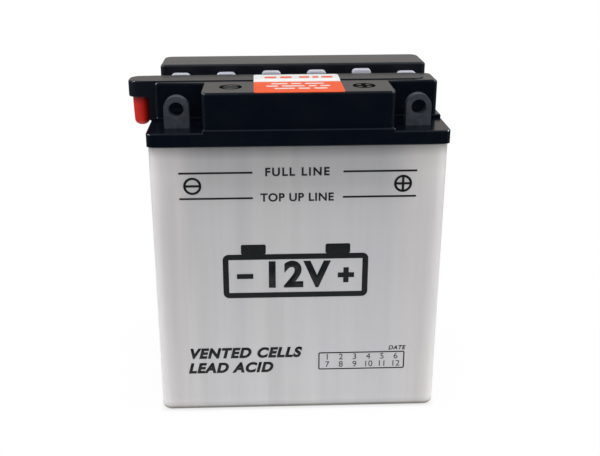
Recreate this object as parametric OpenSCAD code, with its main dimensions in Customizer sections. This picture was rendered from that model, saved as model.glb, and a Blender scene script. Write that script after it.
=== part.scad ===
// Twelve volt motorcycle battery with six filled cells, all sizes in millimetres.
// X runs left to right as seen from the terminals, Y runs to the back and Z is up.
// The origin is the middle of the container's underside.

/* [Container] */
// Length of the container, left to right
case_l = 133.2; // [124:0.2:148]
// Width of the container, front to back
case_w = 79.2; // [74:0.2:92]
// Height of the container up to its rim
case_h = 137.6; // [130:0.2:152]
// Thickness of the outer walls
wall_t = 2; // [1.6:0.1:2.6]
// Thickness of the floor
floor_t = 3; // [2:0.5:5]
// Thickness of the walls between the cells
partition_t = 1.6; // [1.2:0.1:2]
// Radius of the upright corners
case_r = 5; // [4:0.5:8]
// Rounding of the edge around the foot
foot_r = 2.5; // [1:0.5:4]
// Inward lean of each outer wall at the foot
draft = 0.1; // [0:0.1:0.4]
// Height of the ribs that the plates stand on
rest_h = 6; // [3:0.5:10]
// Thickness of the ribs that the plates stand on
rest_t = 2; // [1.5:0.5:4]
// Step that sets the rim back under the skirt
rim_step = 1; // [0.6:0.1:1.2]

/* [Cover] */
// How far the skirt stands out from the container
skirt_out = 0.4; // [0.2:0.1:2]
// How far the skirt hangs below the rim
skirt_drop = 4; // [2:0.2:6]
// Radius of the skirt's upright corners
skirt_r = 2.5; // [2:0.5:5]
// Gap between the skirt's lower edge and the container's shoulder
skirt_gap = 0.3; // [0.2:0.1:0.6]
// Clearance between the skirt and the rim
skirt_play = 0.1; // [0.05:0.05:0.3]
// Thickness of the cover's shell
cover_t = 2; // [1.6:0.1:2.6]
// Height of the front deck above the cover plate
deck_h = 17.4; // [15:0.2:22]
// How far the deck stands back from the skirt's ends
end_inset = 1.8; // [1.5:0.1:4]
// How far the deck stands back from the skirt's front
front_inset = 1.6; // [1:0.1:3]
// How far the rear rail stands in from the skirt's back
rear_inset = 1; // [0.5:0.1:3]
// Height of the rear rail above the deck
rail_rise = 3.2; // [1:0.2:6]
// How much shorter the rear rail is than the deck, at each end
rail_short = 0.4; // [0.2:0.1:2]
// Radius of the rail's rear corners
rail_r = 4.5; // [2:0.5:6]
// Radius of the deck's rear corners
deck_r = 3; // [2:0.5:7]
// Radius of the upright edges at the pockets and on the rail's front
edge_r = 2.2; // [0.8:0.2:3]
// Length of each terminal pocket
pocket_l = 23; // [20:0.2:24]
// Height of the lip around the foot of the deck, which the pockets cut through
lip_h = 1.5; // [0.5:0.1:3]
// Depth of the lip along the foot of the pockets' rear walls
lip_in = 1.2; // [0.5:0.1:2]
// Width of the trough between the deck and the rail
trough_w = 9.6; // [8:0.2:11]
// Width of the deck behind the duct strip
deck_lip = 1.8; // [1:0.1:5]
// Depth of the trough below the deck
trough_d = 8; // [6:0.2:10]
// Depth of the polarity signs cut into the deck
sign_d = 0.5; // [0.2:0.1:0.8]
// Radius of the polarity signs
sign_r = 5; // [3:0.1:6]
// Distance of the polarity signs from the middle
sign_x = 29.8; // [26:0.2:36]
// Distance of the polarity signs from the deck's front
sign_back = 13.2; // [8:0.2:16]

/* [Filler necks and plugs] */
// Wall of the filler necks
neck_wall = 1.4; // [1:0.1:1.8]
// How far the filler necks reach below the rim
neck_drop = 16; // [8:0.5:18]
// Clearance between a plug's collar and the trough's walls
collar_play = 0.4; // [0.3:0.1:0.8]
// Width of the ring on which a plug is seated
collar_land = 0.9; // [0.6:0.1:1.6]
// Thickness of a plug's collar
collar_t = 2; // [1.5:0.1:3]
// Clearance between a plug's barrel and its neck
plug_play = 0.3; // [0.25:0.05:0.4]
// Length of a plug's barrel
barrel_l = 14; // [10:0.5:18]
// Wall of a plug's barrel
barrel_wall = 1; // [0.8:0.1:1.8]
// Width of a plug's grip, left to right
grip_l = 9.1; // [7:0.1:10]
// Thickness of a plug's grip, front to back
grip_w = 3.4; // [3:0.2:6]
// Height of a plug's grip above its collar
grip_h = 5.4; // [4:0.1:8]
// Rounding of the grip's upper corners
grip_r = 1.8; // [0.5:0.1:2]
// Thickness of the sealing ring under a plug
seal_t = 0.6; // [0.4:0.1:1.2]
// Clearance between the sealing ring and the barrel
seal_play = 0.1; // [0.05:0.05:0.2]

/* [Gas duct] */
// Width of the duct strip, front to back
strip_w = 13.8; // [12.6:0.2:15]
// Thickness of the duct strip above the deck
strip_t = 0.4; // [0.3:0.1:2]
// How far the strip lies behind the pockets' rear walls
strip_back = 3.3; // [1:0.1:5]
// How far the strip ends short of the deck's right end
strip_short = 5.2; // [2:0.1:8]
// Radius of the strip's right corners
strip_r = 5.5; // [2:0.5:6]
// Height of the elbow
elbow_h = 7.5; // [7:0.1:10]
// Radius of the elbow's corners
elbow_r = 5; // [2:0.5:5.5]
// Wall of the elbow's chamber
elbow_wall = 1.8; // [1.2:0.1:2.4]
// Gap between the red cap and the foot under the elbow
foot_gap = 0.4; // [0.3:0.1:1]
// Distance of the nipple from the elbow's end
nipple_in = 5.3; // [4.5:0.1:6]
// Outer radius of the nipple
nipple_r = 2.3; // [2.2:0.1:2.8]
// Radius of the gas passage in the nipple
nipple_bore_r = 1.3; // [0.8:0.1:1.6]
// Length of the nipple below the elbow
nipple_l = 10; // [8:0.5:14]
// Width of the gas channel in the deck
channel_w = 7; // [5:0.2:8]
// Depth of the gas channel in the deck
channel_d = 3; // [2.5:0.1:4]
// Depth of the strip's tongue in the channel
tongue_d = 1; // [0.5:0.1:1.5]
// Clearance between the tongue and the channel
tongue_play = 0.15; // [0.1:0.05:0.3]
// Radius of the gas port above each cell
port_r = 0.8; // [0.5:0.1:1.5]

/* [Vent cap] */
// Wall of the cap at its open end
cap_wall = 1.2; // [1.1:0.1:1.6]
// Clearance between the cap and the nipple
cap_play = 0.3; // [0.25:0.05:0.4]
// Gap between the cap and the elbow's underside
cap_gap = 0.4; // [0.3:0.1:1]
// Gap between the cap and the skirt's end
cap_clear = 1.5; // [0.5:0.1:3]
// Room between the nipple's end and the cap's closed end
cap_room = 1; // [0.5:0.1:4]
// Thickness of the cap's closed end
cap_end_t = 3.1; // [1.6:0.1:3.4]
// Narrowing of the cap's radius towards its tip
cap_taper = 0.3; // [0:0.1:1]
// Length of the cap's straight part below the elbow
cap_straight = 3.5; // [1:0.5:6]
// Rounding of the cap's tip
cap_tip_r = 2.6; // [1:0.2:3.2]

/* [Terminals] */
// How far the terminals stand in from the middles of the end cells
terminal_in = 0.5; // [0:0.1:2]
// Width of the terminal blades
blade_w = 11.3; // [10:0.1:14]
// Thickness of the terminal blades
blade_t = 4.5; // [3:0.1:6]
// Height of the terminal blades above the pocket's floor
blade_h = 14.3; // [13:0.1:17]
// Distance of the blades behind the deck's front
blade_back = 8.4; // [6:0.2:9]
// Radius of the bolt hole
hole_r = 3.25; // [2.7:0.05:3.6]
// Height of the bolt hole above the pocket's floor
hole_h = 8.4; // [7.5:0.1:10]
// Height of the terminal's foot
heel_h = 3; // [2:0.2:4]
// Length of the foot behind the blade
heel_l = 6.5; // [5.5:0.1:9]
// Gap between the terminal's foot and the pocket's rear wall
heel_gap = 4; // [1:0.2:5]
// Radius of the posts
post_r = 4; // [3:0.1:4.4]
// Clearance around the posts
post_play = 0.1; // [0.05:0.05:0.2]
// Radius of the collar on each post
post_collar_r = 6.6; // [6:0.1:7]
// Thickness of the collar on each post
post_collar_t = 2; // [1:0.2:3]
// Thickness of the rubber ring on each post
post_seal_t = 2; // [1:0.2:3]

/* [Plates] */
// Gap between the plates and the container's front and back walls
plate_gap = 2; // [1:0.2:4]
// Distance of the plates' upper edges below the rim
plate_drop = 36.6; // [30:0.2:50]
// Thickness of a negative plate
negative_t = 1.5; // [1.2:0.05:1.8]
// Thickness of a positive plate
positive_t = 1.8; // [1.4:0.05:2.1]
// Gap between the outer plates and the cell walls
stack_gap = 0.45; // [0.2:0.05:0.8]
// How far the separators stand above the plates
separator_rise = 3; // [1:0.5:4]
// Positive plates in each cell
positives = 4; // [3:1:4]
// Width of the lugs on the plates
lug_w = 10; // [6:0.5:11]
// Height of the lugs between plate and strap
lug_h = 5; // [4.5:0.5:7]
// Width of the straps that join the lugs
strap_w = 14; // [12:0.5:15]
// Thickness of the straps
strap_t = 6; // [4:0.5:8]
// Gap between a strap and the cell walls
strap_gap = 1; // [0.5:0.1:1.5]
// Thickness of the upright on a strap that meets the cell wall
upright_t = 2.5; // [2:0.1:4]
// Height of the uprights above the strap
upright_h = 11; // [9.5:0.5:12]
// Radius of the weld through the cell wall
link_r = 3.9; // [3:0.1:4.5]
// Clearance around the weld
link_play = 0.1; // [0.05:0.05:0.2]

/* [Label] */
// Length of the label, left to right
label_l = 39.7; // [20:0.1:44]
// Distance of the label's middle from the battery's middle
label_x = 0.35; // [-10:0.05:10]
// Thickness of the label
label_t = 0.25; // [0.2:0.05:0.4]
// Distance of the label from the deck's front edge
label_front = 0.6; // [0.2:0.1:3]
// Distance of the label from the strip's rear edge
label_rear = 2.6; // [1:0.1:4]

/* [Hidden] */
cells = 6;
// How far each plug stands above its seat, as the plugs are pressed in by hand
plug_rise = [0.05, 0.25, 0.75, 0.9, 1.35, 0];

// Cell layout
inner_l = case_l - 2 * wall_t;
inner_w = case_w - 2 * wall_t;
cell_l = (inner_l - (cells - 1) * partition_t) / cells;
pitch = cell_l + partition_t;

// Levels
skirt_z = case_h - skirt_drop;
ledge_z = case_h + cover_t;
deck_z = ledge_z + deck_h;
rail_z = deck_z + rail_rise;
trough_z = deck_z - trough_d;
channel_z = deck_z - channel_d;
strip_z = deck_z + strip_t;
elbow_z = strip_z - elbow_h;

// Plan of the cover
skirt_x = case_l / 2 + skirt_out;
skirt_y = case_w / 2 + skirt_out;
deck_x = skirt_x - end_inset;
deck_front = -skirt_y + front_inset;
pocket_rear = deck_front + blade_back + blade_t + heel_l + heel_gap;
strip_y0 = pocket_rear + strip_back;
deck_rear = strip_y0 + strip_w + deck_lip;
plug_y = deck_rear + trough_w / 2;
rail_front = deck_rear + trough_w;
rail_rear = skirt_y - rear_inset;
block_x = deck_x - pocket_l;
rail_x = deck_x - rail_short;

// Plugs and necks
collar_r = trough_w / 2 - collar_play;
neck_r = collar_r - collar_land;
barrel_r = neck_r - plug_play;
neck_z = case_h - neck_drop;

// Gas duct
strip_y = strip_y0 + strip_w / 2;
strip_x1 = deck_x - strip_short;
channel_x1 = strip_x1 - strip_r;
tongue_z = deck_z - tongue_d;
tongue_w = channel_w - 2 * tongue_play;
cap_r = nipple_r + cap_play + cap_wall;
cap_l = nipple_l - cap_gap + cap_room + cap_end_t;
nipple_x = -skirt_x - cap_clear - cap_r;
elbow_x = nipple_x - nipple_in;

// Terminals
terminal_x = pitch * (cells - 1) / 2 - terminal_in;
blade_y = deck_front + blade_back;
post_y = blade_y + (blade_t + heel_l) / 2;

// Plates
plate_w = inner_w - 2 * plate_gap;
plate_z = floor_t + rest_h;
plate_h = case_h - plate_drop - plate_z;
negatives = positives + 1;
separator_t = (cell_l - 2 * stack_gap - negatives * negative_t - positives * positive_t) / (2 * positives);
stack_pitch = negative_t + positive_t + 2 * separator_t;
strap_y = -post_y;
strap_z = plate_z + plate_h + lug_h;
link_z = strap_z + strap_t + upright_h / 2;

eps = 0.01;
$fn = 48;

single_nodes = [
    "container", "top_cover", "vent_duct", "vent_cap", "terminal_negative", "terminal_positive",
    "post_negative", "post_positive", "post_seal_negative", "post_seal_positive", "top_label"
];
cell_nodes = ["vent_plug_", "plug_seal_", "negative_plates_", "positive_plates_", "separators_"];

function cell_x(k) = (k - (cells + 1) / 2) * pitch;
function wall_x(k) = cell_x(k) + pitch / 2;
// Both ends of a width around its middle
function span(mid, w) = [mid - w / 2, mid + w / 2];
// Odd cells have their negative strap at the front, even cells at the back
function negative_side(k) = k % 2 == 1 ? -1 : 1;

// Rectangle from corner to corner with rounded front and rear corners
module plan(x0, x1, y0, y1, front_r, rear_r) {
    translate([x0 + front_r, y0])
        square([x1 - x0 - 2 * front_r, front_r + eps]);
    translate([x0, y0 + front_r])
        square([x1 - x0, y1 - y0 - front_r - rear_r]);
    translate([x0 + rear_r, y1 - rear_r - eps])
        square([x1 - x0 - 2 * rear_r, rear_r + eps]);
    for (x = [x0 + front_r, x1 - front_r])
        translate([x, y0 + front_r])
            circle(front_r);
    for (x = [x0 + rear_r, x1 - rear_r])
        translate([x, y1 - rear_r])
            circle(rear_r);
}

module block(x, y, z) {
    translate([x[0], y[0], z[0]])
        cube([x[1] - x[0], y[1] - y[0], z[1] - z[0]]);
}

// Upright prism of a centred rounded rectangle
module prism(half_x, half_y, r, z) {
    translate([0, 0, z[0]])
        linear_extrude(z[1] - z[0])
            plan(-half_x, half_x, -half_y, half_y, r, r);
}

module ring(outer_r, inner_r, h) {
    difference() {
        cylinder(r = outer_r, h = h);
        translate([0, 0, -1])
            cylinder(r = inner_r, h = h + 2);
    }
}

// Outside of the container below its rim, with a rounded foot
module case_outside(top_z) {
    hull() {
        for (a = [0:22.5:90]) {
            inset = draft + foot_r * (1 - sin(a));
            z = foot_r * (1 - cos(a));
            prism(case_l / 2 - inset, case_w / 2 - inset, case_r - inset, [z, z + eps], $fn = 32);
        }
        prism(case_l / 2, case_w / 2, case_r, [top_z - eps, top_z], $fn = 32);
    }
}

module container() {
    shoulder_z = skirt_z - skirt_gap;
    color([0.75, 0.75, 0.77])
    difference() {
        union() {
            difference() {
                union() {
                    case_outside(shoulder_z);
                    prism(case_l / 2 - rim_step, case_w / 2 - rim_step, case_r - rim_step,
                        [shoulder_z - 1, case_h]);
                }
                prism(inner_l / 2, inner_w / 2, case_r - wall_t, [floor_t, case_h + 1]);
            }
            for (k = [1:cells - 1])
                block(span(wall_x(k), partition_t), span(0, inner_w + wall_t), [floor_t - 1, case_h]);
            for (y = [-3, -1, 1, 3] * plate_w / 8)
                block(span(0, inner_l + wall_t), span(y, rest_t), [floor_t - 1, plate_z]);
        }
        for (k = [1:cells - 1])
            translate([wall_x(k) - partition_t, -negative_side(k) * strap_y, link_z])
                rotate([0, 90, 0])
                    cylinder(r = link_r + link_play, h = 2 * partition_t);
    }
}

// Hollow under the raised part of the cover, parted cell by cell
module cover_hollow() {
    shell = span(0, 2 * (deck_x - cover_t));
    low_z = case_h - 1;
    difference() {
        union() {
            block(span(0, 2 * (block_x - cover_t)), [deck_front + cover_t, strip_y0],
                [low_z, deck_z - cover_t]);
            block(shell, [pocket_rear + cover_t, deck_rear - cover_t], [low_z, channel_z - cover_t]);
            block(shell, [deck_rear - 2 * cover_t, rail_front + 2 * cover_t], [low_z, trough_z - cover_t]);
            block(span(0, 2 * (rail_x - cover_t)), [rail_front + cover_t, rail_rear - cover_t],
                [low_z, rail_z - cover_t]);
        }
        for (k = [1:cells - 1])
            block(span(wall_x(k), partition_t), span(0, 2 * skirt_y), [case_h, rail_z]);
    }
}

module polarity_sign(x, plus) {
    bar = [1.2 * sign_r, 0.3 * sign_r];
    translate([x, deck_front + sign_back, deck_z - sign_d]) {
        ring(sign_r, 0.74 * sign_r, 2 * sign_d);
        translate([0, 0, sign_d])
            cube([bar[0], bar[1], 2 * sign_d], center = true);
        if (plus)
            translate([0, 0, sign_d])
                cube([bar[1], bar[0], 2 * sign_d], center = true);
    }
}

module top_cover() {
    rim_x = case_l / 2 - rim_step + skirt_play;
    rim_y = case_w / 2 - rim_step + skirt_play;
    color([0.06, 0.06, 0.07])
    difference() {
        union() {
            difference() {
                union() {
                    difference() {
                        prism(skirt_x, skirt_y, skirt_r, [skirt_z, ledge_z + lip_h]);
                        for (s = [-1, 1])
                            block(span(s * (block_x + skirt_x), 2 * skirt_x),
                                [-skirt_y - 1, pocket_rear - lip_in], [ledge_z, ledge_z + 2 * lip_h]);
                    }
                    translate([0, 0, ledge_z - 1])
                        linear_extrude(deck_z - ledge_z + 1) {
                            plan(-block_x, block_x, deck_front, strip_y0, edge_r, edge_r);
                            plan(-deck_x, deck_x, pocket_rear, deck_rear, edge_r, deck_r);
                        }
                    block(span(0, 2 * deck_x), [deck_rear - 2 * deck_r, rail_front + edge_r],
                        [ledge_z - 1, trough_z]);
                    translate([0, 0, ledge_z - 1])
                        linear_extrude(rail_z - ledge_z + 1)
                            plan(-rail_x, rail_x, rail_front, rail_rear, edge_r, rail_r);
                }
                prism(rim_x, rim_y, case_r - rim_step + skirt_play, [skirt_z - 1, case_h]);
                cover_hollow();
            }
            for (k = [1:cells])
                translate([cell_x(k), plug_y, neck_z])
                    cylinder(r = neck_r + neck_wall, h = trough_z - cover_t / 2 - neck_z);
        }
        for (k = [1:cells]) {
            translate([cell_x(k), plug_y, neck_z - 1])
                cylinder(r = neck_r, h = trough_z - neck_z + 2);
            translate([cell_x(k), strip_y, channel_z - cover_t - 1])
                cylinder(r = port_r, h = cover_t + 2);
        }
        block([-deck_x - 1, channel_x1], span(strip_y, channel_w), [channel_z, deck_z + 1]);
        for (s = [-1, 1])
            translate([s * terminal_x, post_y, case_h - 1])
                cylinder(r = post_r + post_play, h = cover_t + 2);
        polarity_sign(-sign_x, false);
        polarity_sign(sign_x, true);
    }
}

module vent_duct() {
    color([0.06, 0.06, 0.07])
    difference() {
        union() {
            translate([0, 0, deck_z])
                linear_extrude(strip_t)
                    plan(-deck_x - eps, strip_x1, strip_y0, strip_y0 + strip_w, strip_r, strip_r);
            translate([0, 0, deck_z])
                linear_extrude(strip_t)
                    plan(elbow_x, strip_x1 - 2 * strip_r, strip_y0, strip_y0 + strip_w, elbow_r, elbow_r);
            intersection() {
                translate([0, 0, elbow_z])
                    linear_extrude(elbow_h)
                        plan(elbow_x, 0, strip_y0, strip_y0 + strip_w, elbow_r, elbow_r);
                block([elbow_x - 1, -deck_x], span(strip_y, 2 * strip_w), [elbow_z - 1, strip_z]);
            }
            block([nipple_x + cap_r + foot_gap, -deck_x], span(strip_y, strip_w),
                [ledge_z + lip_h, elbow_z + elbow_wall / 2]);
            block([-deck_x, channel_x1 - tongue_play], span(strip_y, tongue_w),
                [tongue_z, deck_z + strip_t / 2]);
            translate([nipple_x, strip_y, elbow_z - nipple_l])
                cylinder(r = nipple_r, h = nipple_l + elbow_wall);
        }
        block([elbow_x + elbow_wall, -deck_x], span(strip_y, tongue_w), [elbow_z + elbow_wall, tongue_z]);
        translate([nipple_x, strip_y, elbow_z - nipple_l - 1])
            cylinder(r = nipple_bore_r, h = nipple_l + elbow_wall + 2);
    }
}

module vent_cap() {
    tip_r = cap_r - cap_taper;
    round_r = min(cap_tip_r, tip_r);
    bore_l = cap_l - cap_end_t;
    taper_z = cap_l - cap_straight;
    color([0.75, 0.1, 0.08])
    translate([nipple_x, strip_y, elbow_z - cap_gap - cap_l])
        difference() {
            rotate_extrude()
                polygon(concat(
                    [[0, 0]],
                    [for (a = [-90:15:0]) [tip_r, round_r] + round_r * [cos(a) - 1, sin(a)]],
                    [[cap_r, taper_z], [cap_r, cap_l], [0, cap_l]]
                ));
            translate([0, 0, cap_l - bore_l])
                cylinder(r = nipple_r + cap_play, h = bore_l + 1);
        }
}

// Blade with its foot; the post comes up into the foot from below
module terminal(side) {
    heel_y = blade_y + blade_t + heel_l - blade_w / 2;
    color([0.22, 0.23, 0.25])
    translate([side * terminal_x, 0, ledge_z])
        difference() {
            union() {
                translate([0, blade_y + blade_t, 0])
                    rotate([90, 0, 0])
                        linear_extrude(blade_t) {
                            translate([-blade_w / 2, 0])
                                square([blade_w, blade_h - blade_w / 2]);
                            translate([0, blade_h - blade_w / 2])
                                circle(blade_w / 2);
                        }
                block(span(0, blade_w), [blade_y + blade_t / 2, heel_y], [0, heel_h]);
                translate([0, heel_y, 0])
                    cylinder(r = blade_w / 2, h = heel_h);
            }
            translate([0, blade_y - 1, hole_h])
                rotate([-90, 0, 0])
                    cylinder(r = hole_r, h = blade_t + 2);
            translate([0, post_y, -1])
                cylinder(r = post_r + post_play, h = heel_h + 1);
        }
}

module post(side) {
    foot_z = strap_z + strap_t;
    collar_z = case_h - post_seal_t - post_collar_t;
    color([0.42, 0.43, 0.45])
    translate([side * terminal_x, post_y, 0]) {
        translate([0, 0, foot_z])
            cylinder(r = post_r, h = ledge_z + heel_h - foot_z);
        translate([0, 0, collar_z])
            cylinder(r = post_collar_r, h = post_collar_t);
    }
}

module post_seal(side) {
    color([0.1, 0.1, 0.1])
    translate([side * terminal_x, post_y, case_h - post_seal_t])
        ring(post_collar_r, post_r + post_play, post_seal_t);
}

module vent_plug(k) {
    color([0.84, 0.84, 0.88])
    translate([cell_x(k), plug_y, trough_z + seal_t + plug_rise[k - 1]])
        difference() {
            union() {
                translate([0, 0, -barrel_l])
                    cylinder(r = barrel_r, h = barrel_l + collar_t);
                cylinder(r = collar_r, h = collar_t);
                translate([0, grip_w / 2, 0])
                    rotate([90, 0, 0])
                        linear_extrude(grip_w)
                            plan(-grip_l / 2, grip_l / 2, collar_t / 2, collar_t + grip_h, 0.2, grip_r);
            }
            translate([0, 0, -barrel_l - 1])
                cylinder(r = barrel_r - barrel_wall, h = barrel_l + 1);
        }
}

module plug_seal(k) {
    color([0.1, 0.1, 0.1])
    translate([cell_x(k), plug_y, trough_z + plug_rise[k - 1]])
        ring(collar_r, barrel_r + seal_play, seal_t);
}

// Plates of one polarity with their lugs, their strap and an upright towards a neighbour
module plate_group(k, count, t, side, towards) {
    strap = span(side * strap_y, strap_w);
    translate([cell_x(k), 0, 0]) {
        for (i = [0:count - 1]) {
            x = span((i - (count - 1) / 2) * stack_pitch, t);
            block(x, span(0, plate_w), [plate_z, plate_z + plate_h]);
            block(x, span(side * strap_y, lug_w), [plate_z + plate_h - 1, strap_z + 1]);
        }
        block(span(0, cell_l - 2 * strap_gap), strap, [strap_z, strap_z + strap_t]);
        if (towards != 0)
            block(span(towards * (cell_l - upright_t) / 2, upright_t), strap,
                [strap_z, strap_z + strap_t + upright_h]);
    }
}

module negative_plates(k) {
    color([0.5, 0.5, 0.52])
        plate_group(k, negatives, negative_t, negative_side(k), k == 1 ? 0 : -1);
}

module positive_plates(k) {
    color([0.35, 0.25, 0.2])
        plate_group(k, positives, positive_t, -negative_side(k), k == cells ? 0 : 1);
}

module separators(k) {
    color([0.9, 0.9, 0.86])
    for (i = [0:positives - 1], s = [-1, 1]) {
        x = cell_x(k) + (i - (positives - 1) / 2) * stack_pitch + s * (positive_t + separator_t) / 2;
        block(span(x, separator_t), span(0, inner_w - plate_gap),
            [plate_z, plate_z + plate_h + separator_rise]);
    }
}

module cell_link(k) {
    color([0.5, 0.5, 0.52])
    translate([wall_x(k) - partition_t / 2, -negative_side(k) * strap_y, link_z])
        rotate([0, 90, 0])
            cylinder(r = link_r, h = partition_t);
}

// Sticker that lies on the deck and climbs the step of the duct strip
module top_label() {
    y0 = deck_front + label_front;
    y1 = strip_y0 + strip_w - label_rear;
    ramp = strip_t;
    color([0.95, 0.5, 0.35])
    translate([label_x - label_l / 2, 0, 0])
        rotate([90, 0, 90])
            linear_extrude(label_l)
                polygon([
                    [y0, deck_z], [strip_y0 - ramp, deck_z], [strip_y0, strip_z], [y1, strip_z],
                    [y1, strip_z + label_t], [strip_y0 - label_t, strip_z + label_t],
                    [strip_y0 - ramp - label_t, deck_z + label_t], [y0, deck_z + label_t]
                ]);
}

container();
top_cover();
vent_duct();
vent_cap();
terminal(-1);  // terminal_negative
terminal(1);  // terminal_positive
post(-1);  // post_negative
post(1);  // post_positive
post_seal(-1);  // post_seal_negative
post_seal(1);  // post_seal_positive
top_label();
for (k = [1:cells]) {
    vent_plug(k);
    plug_seal(k);
    negative_plates(k);
    positive_plates(k);
    separators(k);
}
for (k = [1:cells - 1])
    cell_link(k);
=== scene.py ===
import bpy
import bmesh
import math
from mathutils import Matrix, Vector


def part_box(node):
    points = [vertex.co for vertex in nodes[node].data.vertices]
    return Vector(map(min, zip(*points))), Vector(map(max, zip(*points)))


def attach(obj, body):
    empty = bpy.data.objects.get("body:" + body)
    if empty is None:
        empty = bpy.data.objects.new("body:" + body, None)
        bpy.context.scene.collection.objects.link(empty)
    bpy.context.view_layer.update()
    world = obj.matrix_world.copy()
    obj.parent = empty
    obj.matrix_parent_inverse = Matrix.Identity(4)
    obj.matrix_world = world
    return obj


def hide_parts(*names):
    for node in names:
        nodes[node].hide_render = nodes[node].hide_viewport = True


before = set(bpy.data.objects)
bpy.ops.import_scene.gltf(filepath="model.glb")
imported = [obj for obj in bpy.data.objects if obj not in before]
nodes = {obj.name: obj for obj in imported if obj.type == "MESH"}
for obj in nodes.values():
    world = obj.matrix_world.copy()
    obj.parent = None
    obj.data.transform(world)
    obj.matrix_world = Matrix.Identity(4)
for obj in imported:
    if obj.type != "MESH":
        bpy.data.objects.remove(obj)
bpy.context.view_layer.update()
mm = 0.001
print("stage: frame loaded,", len(nodes), "nodes")


# Selection and mesh helpers, with sizes in millimetres and angles in degrees

meshSet = {"merge": 0.001, "bevelMerge": 0.002, "flat": 0.5, "fold": 35, "level": 0.05, "smooth": 40,
           "flatWeight": 100}


def pick(piece):
    bpy.ops.object.select_all(action="DESELECT")
    piece.select_set(True)
    bpy.context.view_layer.objects.active = piece


# Opens a mesh with nothing selected
def openMesh(piece, kind="EDGE"):
    pick(piece)
    bpy.ops.object.mode_set(mode="EDIT")
    bpy.ops.mesh.select_mode(type=kind)
    bpy.ops.mesh.select_all(action="DESELECT")


# Opens a mesh with all of it selected
def openWhole(piece, kind="VERT"):
    openMesh(piece, kind)
    bpy.ops.mesh.select_all(action="SELECT")


def closeMesh():
    bpy.ops.object.mode_set(mode="OBJECT")


# Selects the edges, faces or verts of the open mesh that pass a test, and says how many
def choose(piece, group, test):
    grid = bmesh.from_edit_mesh(piece.data)
    chosen = [part for part in getattr(grid, group) if test(part)]
    for part in chosen:
        part.select_set(True)
    bmesh.update_edit_mesh(piece.data)
    return len(chosen)


def placeOf(part):
    spots = [spot.co for spot in part.verts]
    return sum(spots, Vector()) / len(spots) / mm


# True for a sharp outer edge, because an inner one folds by less than 0 degrees
def isSharp(edge):
    if len(edge.link_faces) != 2:
        return False
    return math.degrees(edge.calc_face_angle_signed(0)) > meshSet["fold"]


def isNear(value, level):
    return abs(value - level) < meshSet["level"]


# A CAD node's copy with its loose triangles merged into whole faces
def copyNode(nodeName, pieceName):
    pick(nodes[nodeName])
    bpy.ops.object.duplicate()
    piece = bpy.context.active_object
    piece.name = pieceName
    piece.data.name = pieceName
    bpy.ops.mesh.customdata_custom_splitnormals_clear()
    openWhole(piece)
    bpy.ops.mesh.remove_doubles(threshold=meshSet["merge"] * mm)
    bpy.ops.mesh.dissolve_limited(angle_limit=math.radians(meshSet["flat"]))
    closeMesh()
    piece.data.materials.clear()
    return piece


# Rounds the edges that pass a test by a bevel of a width and a number of steps
def roundEdges(piece, rounding, test):
    width, steps = rounding
    openMesh(piece)
    count = choose(piece, "edges", test)
    if count:
        bpy.ops.mesh.bevel(offset=width * mm, offset_type="OFFSET", segments=steps, profile=0.5,
                           affect="EDGES", clamp_overlap=False, harden_normals=False)
    closeMesh()
    return count


# Merges what the bevels left on one spot, then shades round edges smooth and flat faces flat
def smooth(piece, angle=meshSet["smooth"]):
    openWhole(piece)
    bpy.ops.mesh.remove_doubles(threshold=meshSet["bevelMerge"] * mm)
    bpy.ops.mesh.dissolve_degenerate(threshold=meshSet["bevelMerge"] * mm)
    closeMesh()
    bpy.ops.object.shade_smooth_by_angle(angle=math.radians(angle))
    even = piece.modifiers.new("even normals", "WEIGHTED_NORMAL")
    even.keep_sharp = True
    even.weight = meshSet["flatWeight"]
    bpy.ops.object.modifier_apply(modifier=even.name)


# Gives a further finish to the faces that pass a test
def paintFaces(piece, finish, test):
    piece.data.materials.append(finish)
    openMesh(piece, "FACE")
    count = choose(piece, "faces", test)
    piece.active_material_index = len(piece.data.materials) - 1
    bpy.ops.object.material_slot_assign()
    closeMesh()
    return count


# A flat sheet on the XY plane, left open with all of it selected
def openSheet(xs, ys):
    bpy.ops.object.select_all(action="DESELECT")
    bpy.ops.mesh.primitive_plane_add(size=1)
    sheet = bpy.context.active_object
    openWhole(sheet)
    bpy.ops.transform.resize(value=((xs[1] - xs[0]) * mm, (ys[1] - ys[0]) * mm, 1))
    bpy.ops.transform.translate(value=((xs[0] + xs[1]) / 2 * mm, (ys[0] + ys[1]) / 2 * mm, 0))
    return sheet


# Gives a flat sheet its thickness on the outer side
def thicken(piece, thick):
    body = piece.modifiers.new("thickness", "SOLIDIFY")
    body.thickness = thick * mm
    body.offset = 1
    pick(piece)
    bpy.ops.object.modifier_apply(modifier=body.name)


def joinPieces(pieces, name):
    pick(pieces[0])
    for piece in pieces:
        piece.select_set(True)
    bpy.ops.object.join()
    joined = bpy.context.active_object
    joined.name = name
    return joined


def hand(piece, body, slotName, *replaced):
    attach(piece, body)
    if replaced:
        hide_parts(*replaced)


# Material helpers, with places in metres, as Object coordinates are

def newFinish(name):
    finish = bpy.data.materials.new(name)
    finish.use_nodes = True
    tree = finish.node_tree
    shader = tree.nodes["Principled BSDF"]
    return finish, tree, shader


def addNode(tree, kind, **values):
    node = tree.nodes.new(kind)
    for key, value in values.items():
        setattr(node, key, value)
    return node


# Links a socket to another one, or sets its own value
def feed(tree, socket, value):
    if hasattr(value, "is_linked"):
        tree.links.new(value, socket)
    else:
        socket.default_value = value


def addMath(tree, operation, first, second=0.0, clamp=False):
    step = addNode(tree, "ShaderNodeMath", operation=operation, use_clamp=clamp)
    feed(tree, step.inputs[0], first)
    feed(tree, step.inputs[1], second)
    return step.outputs[0]


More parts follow.
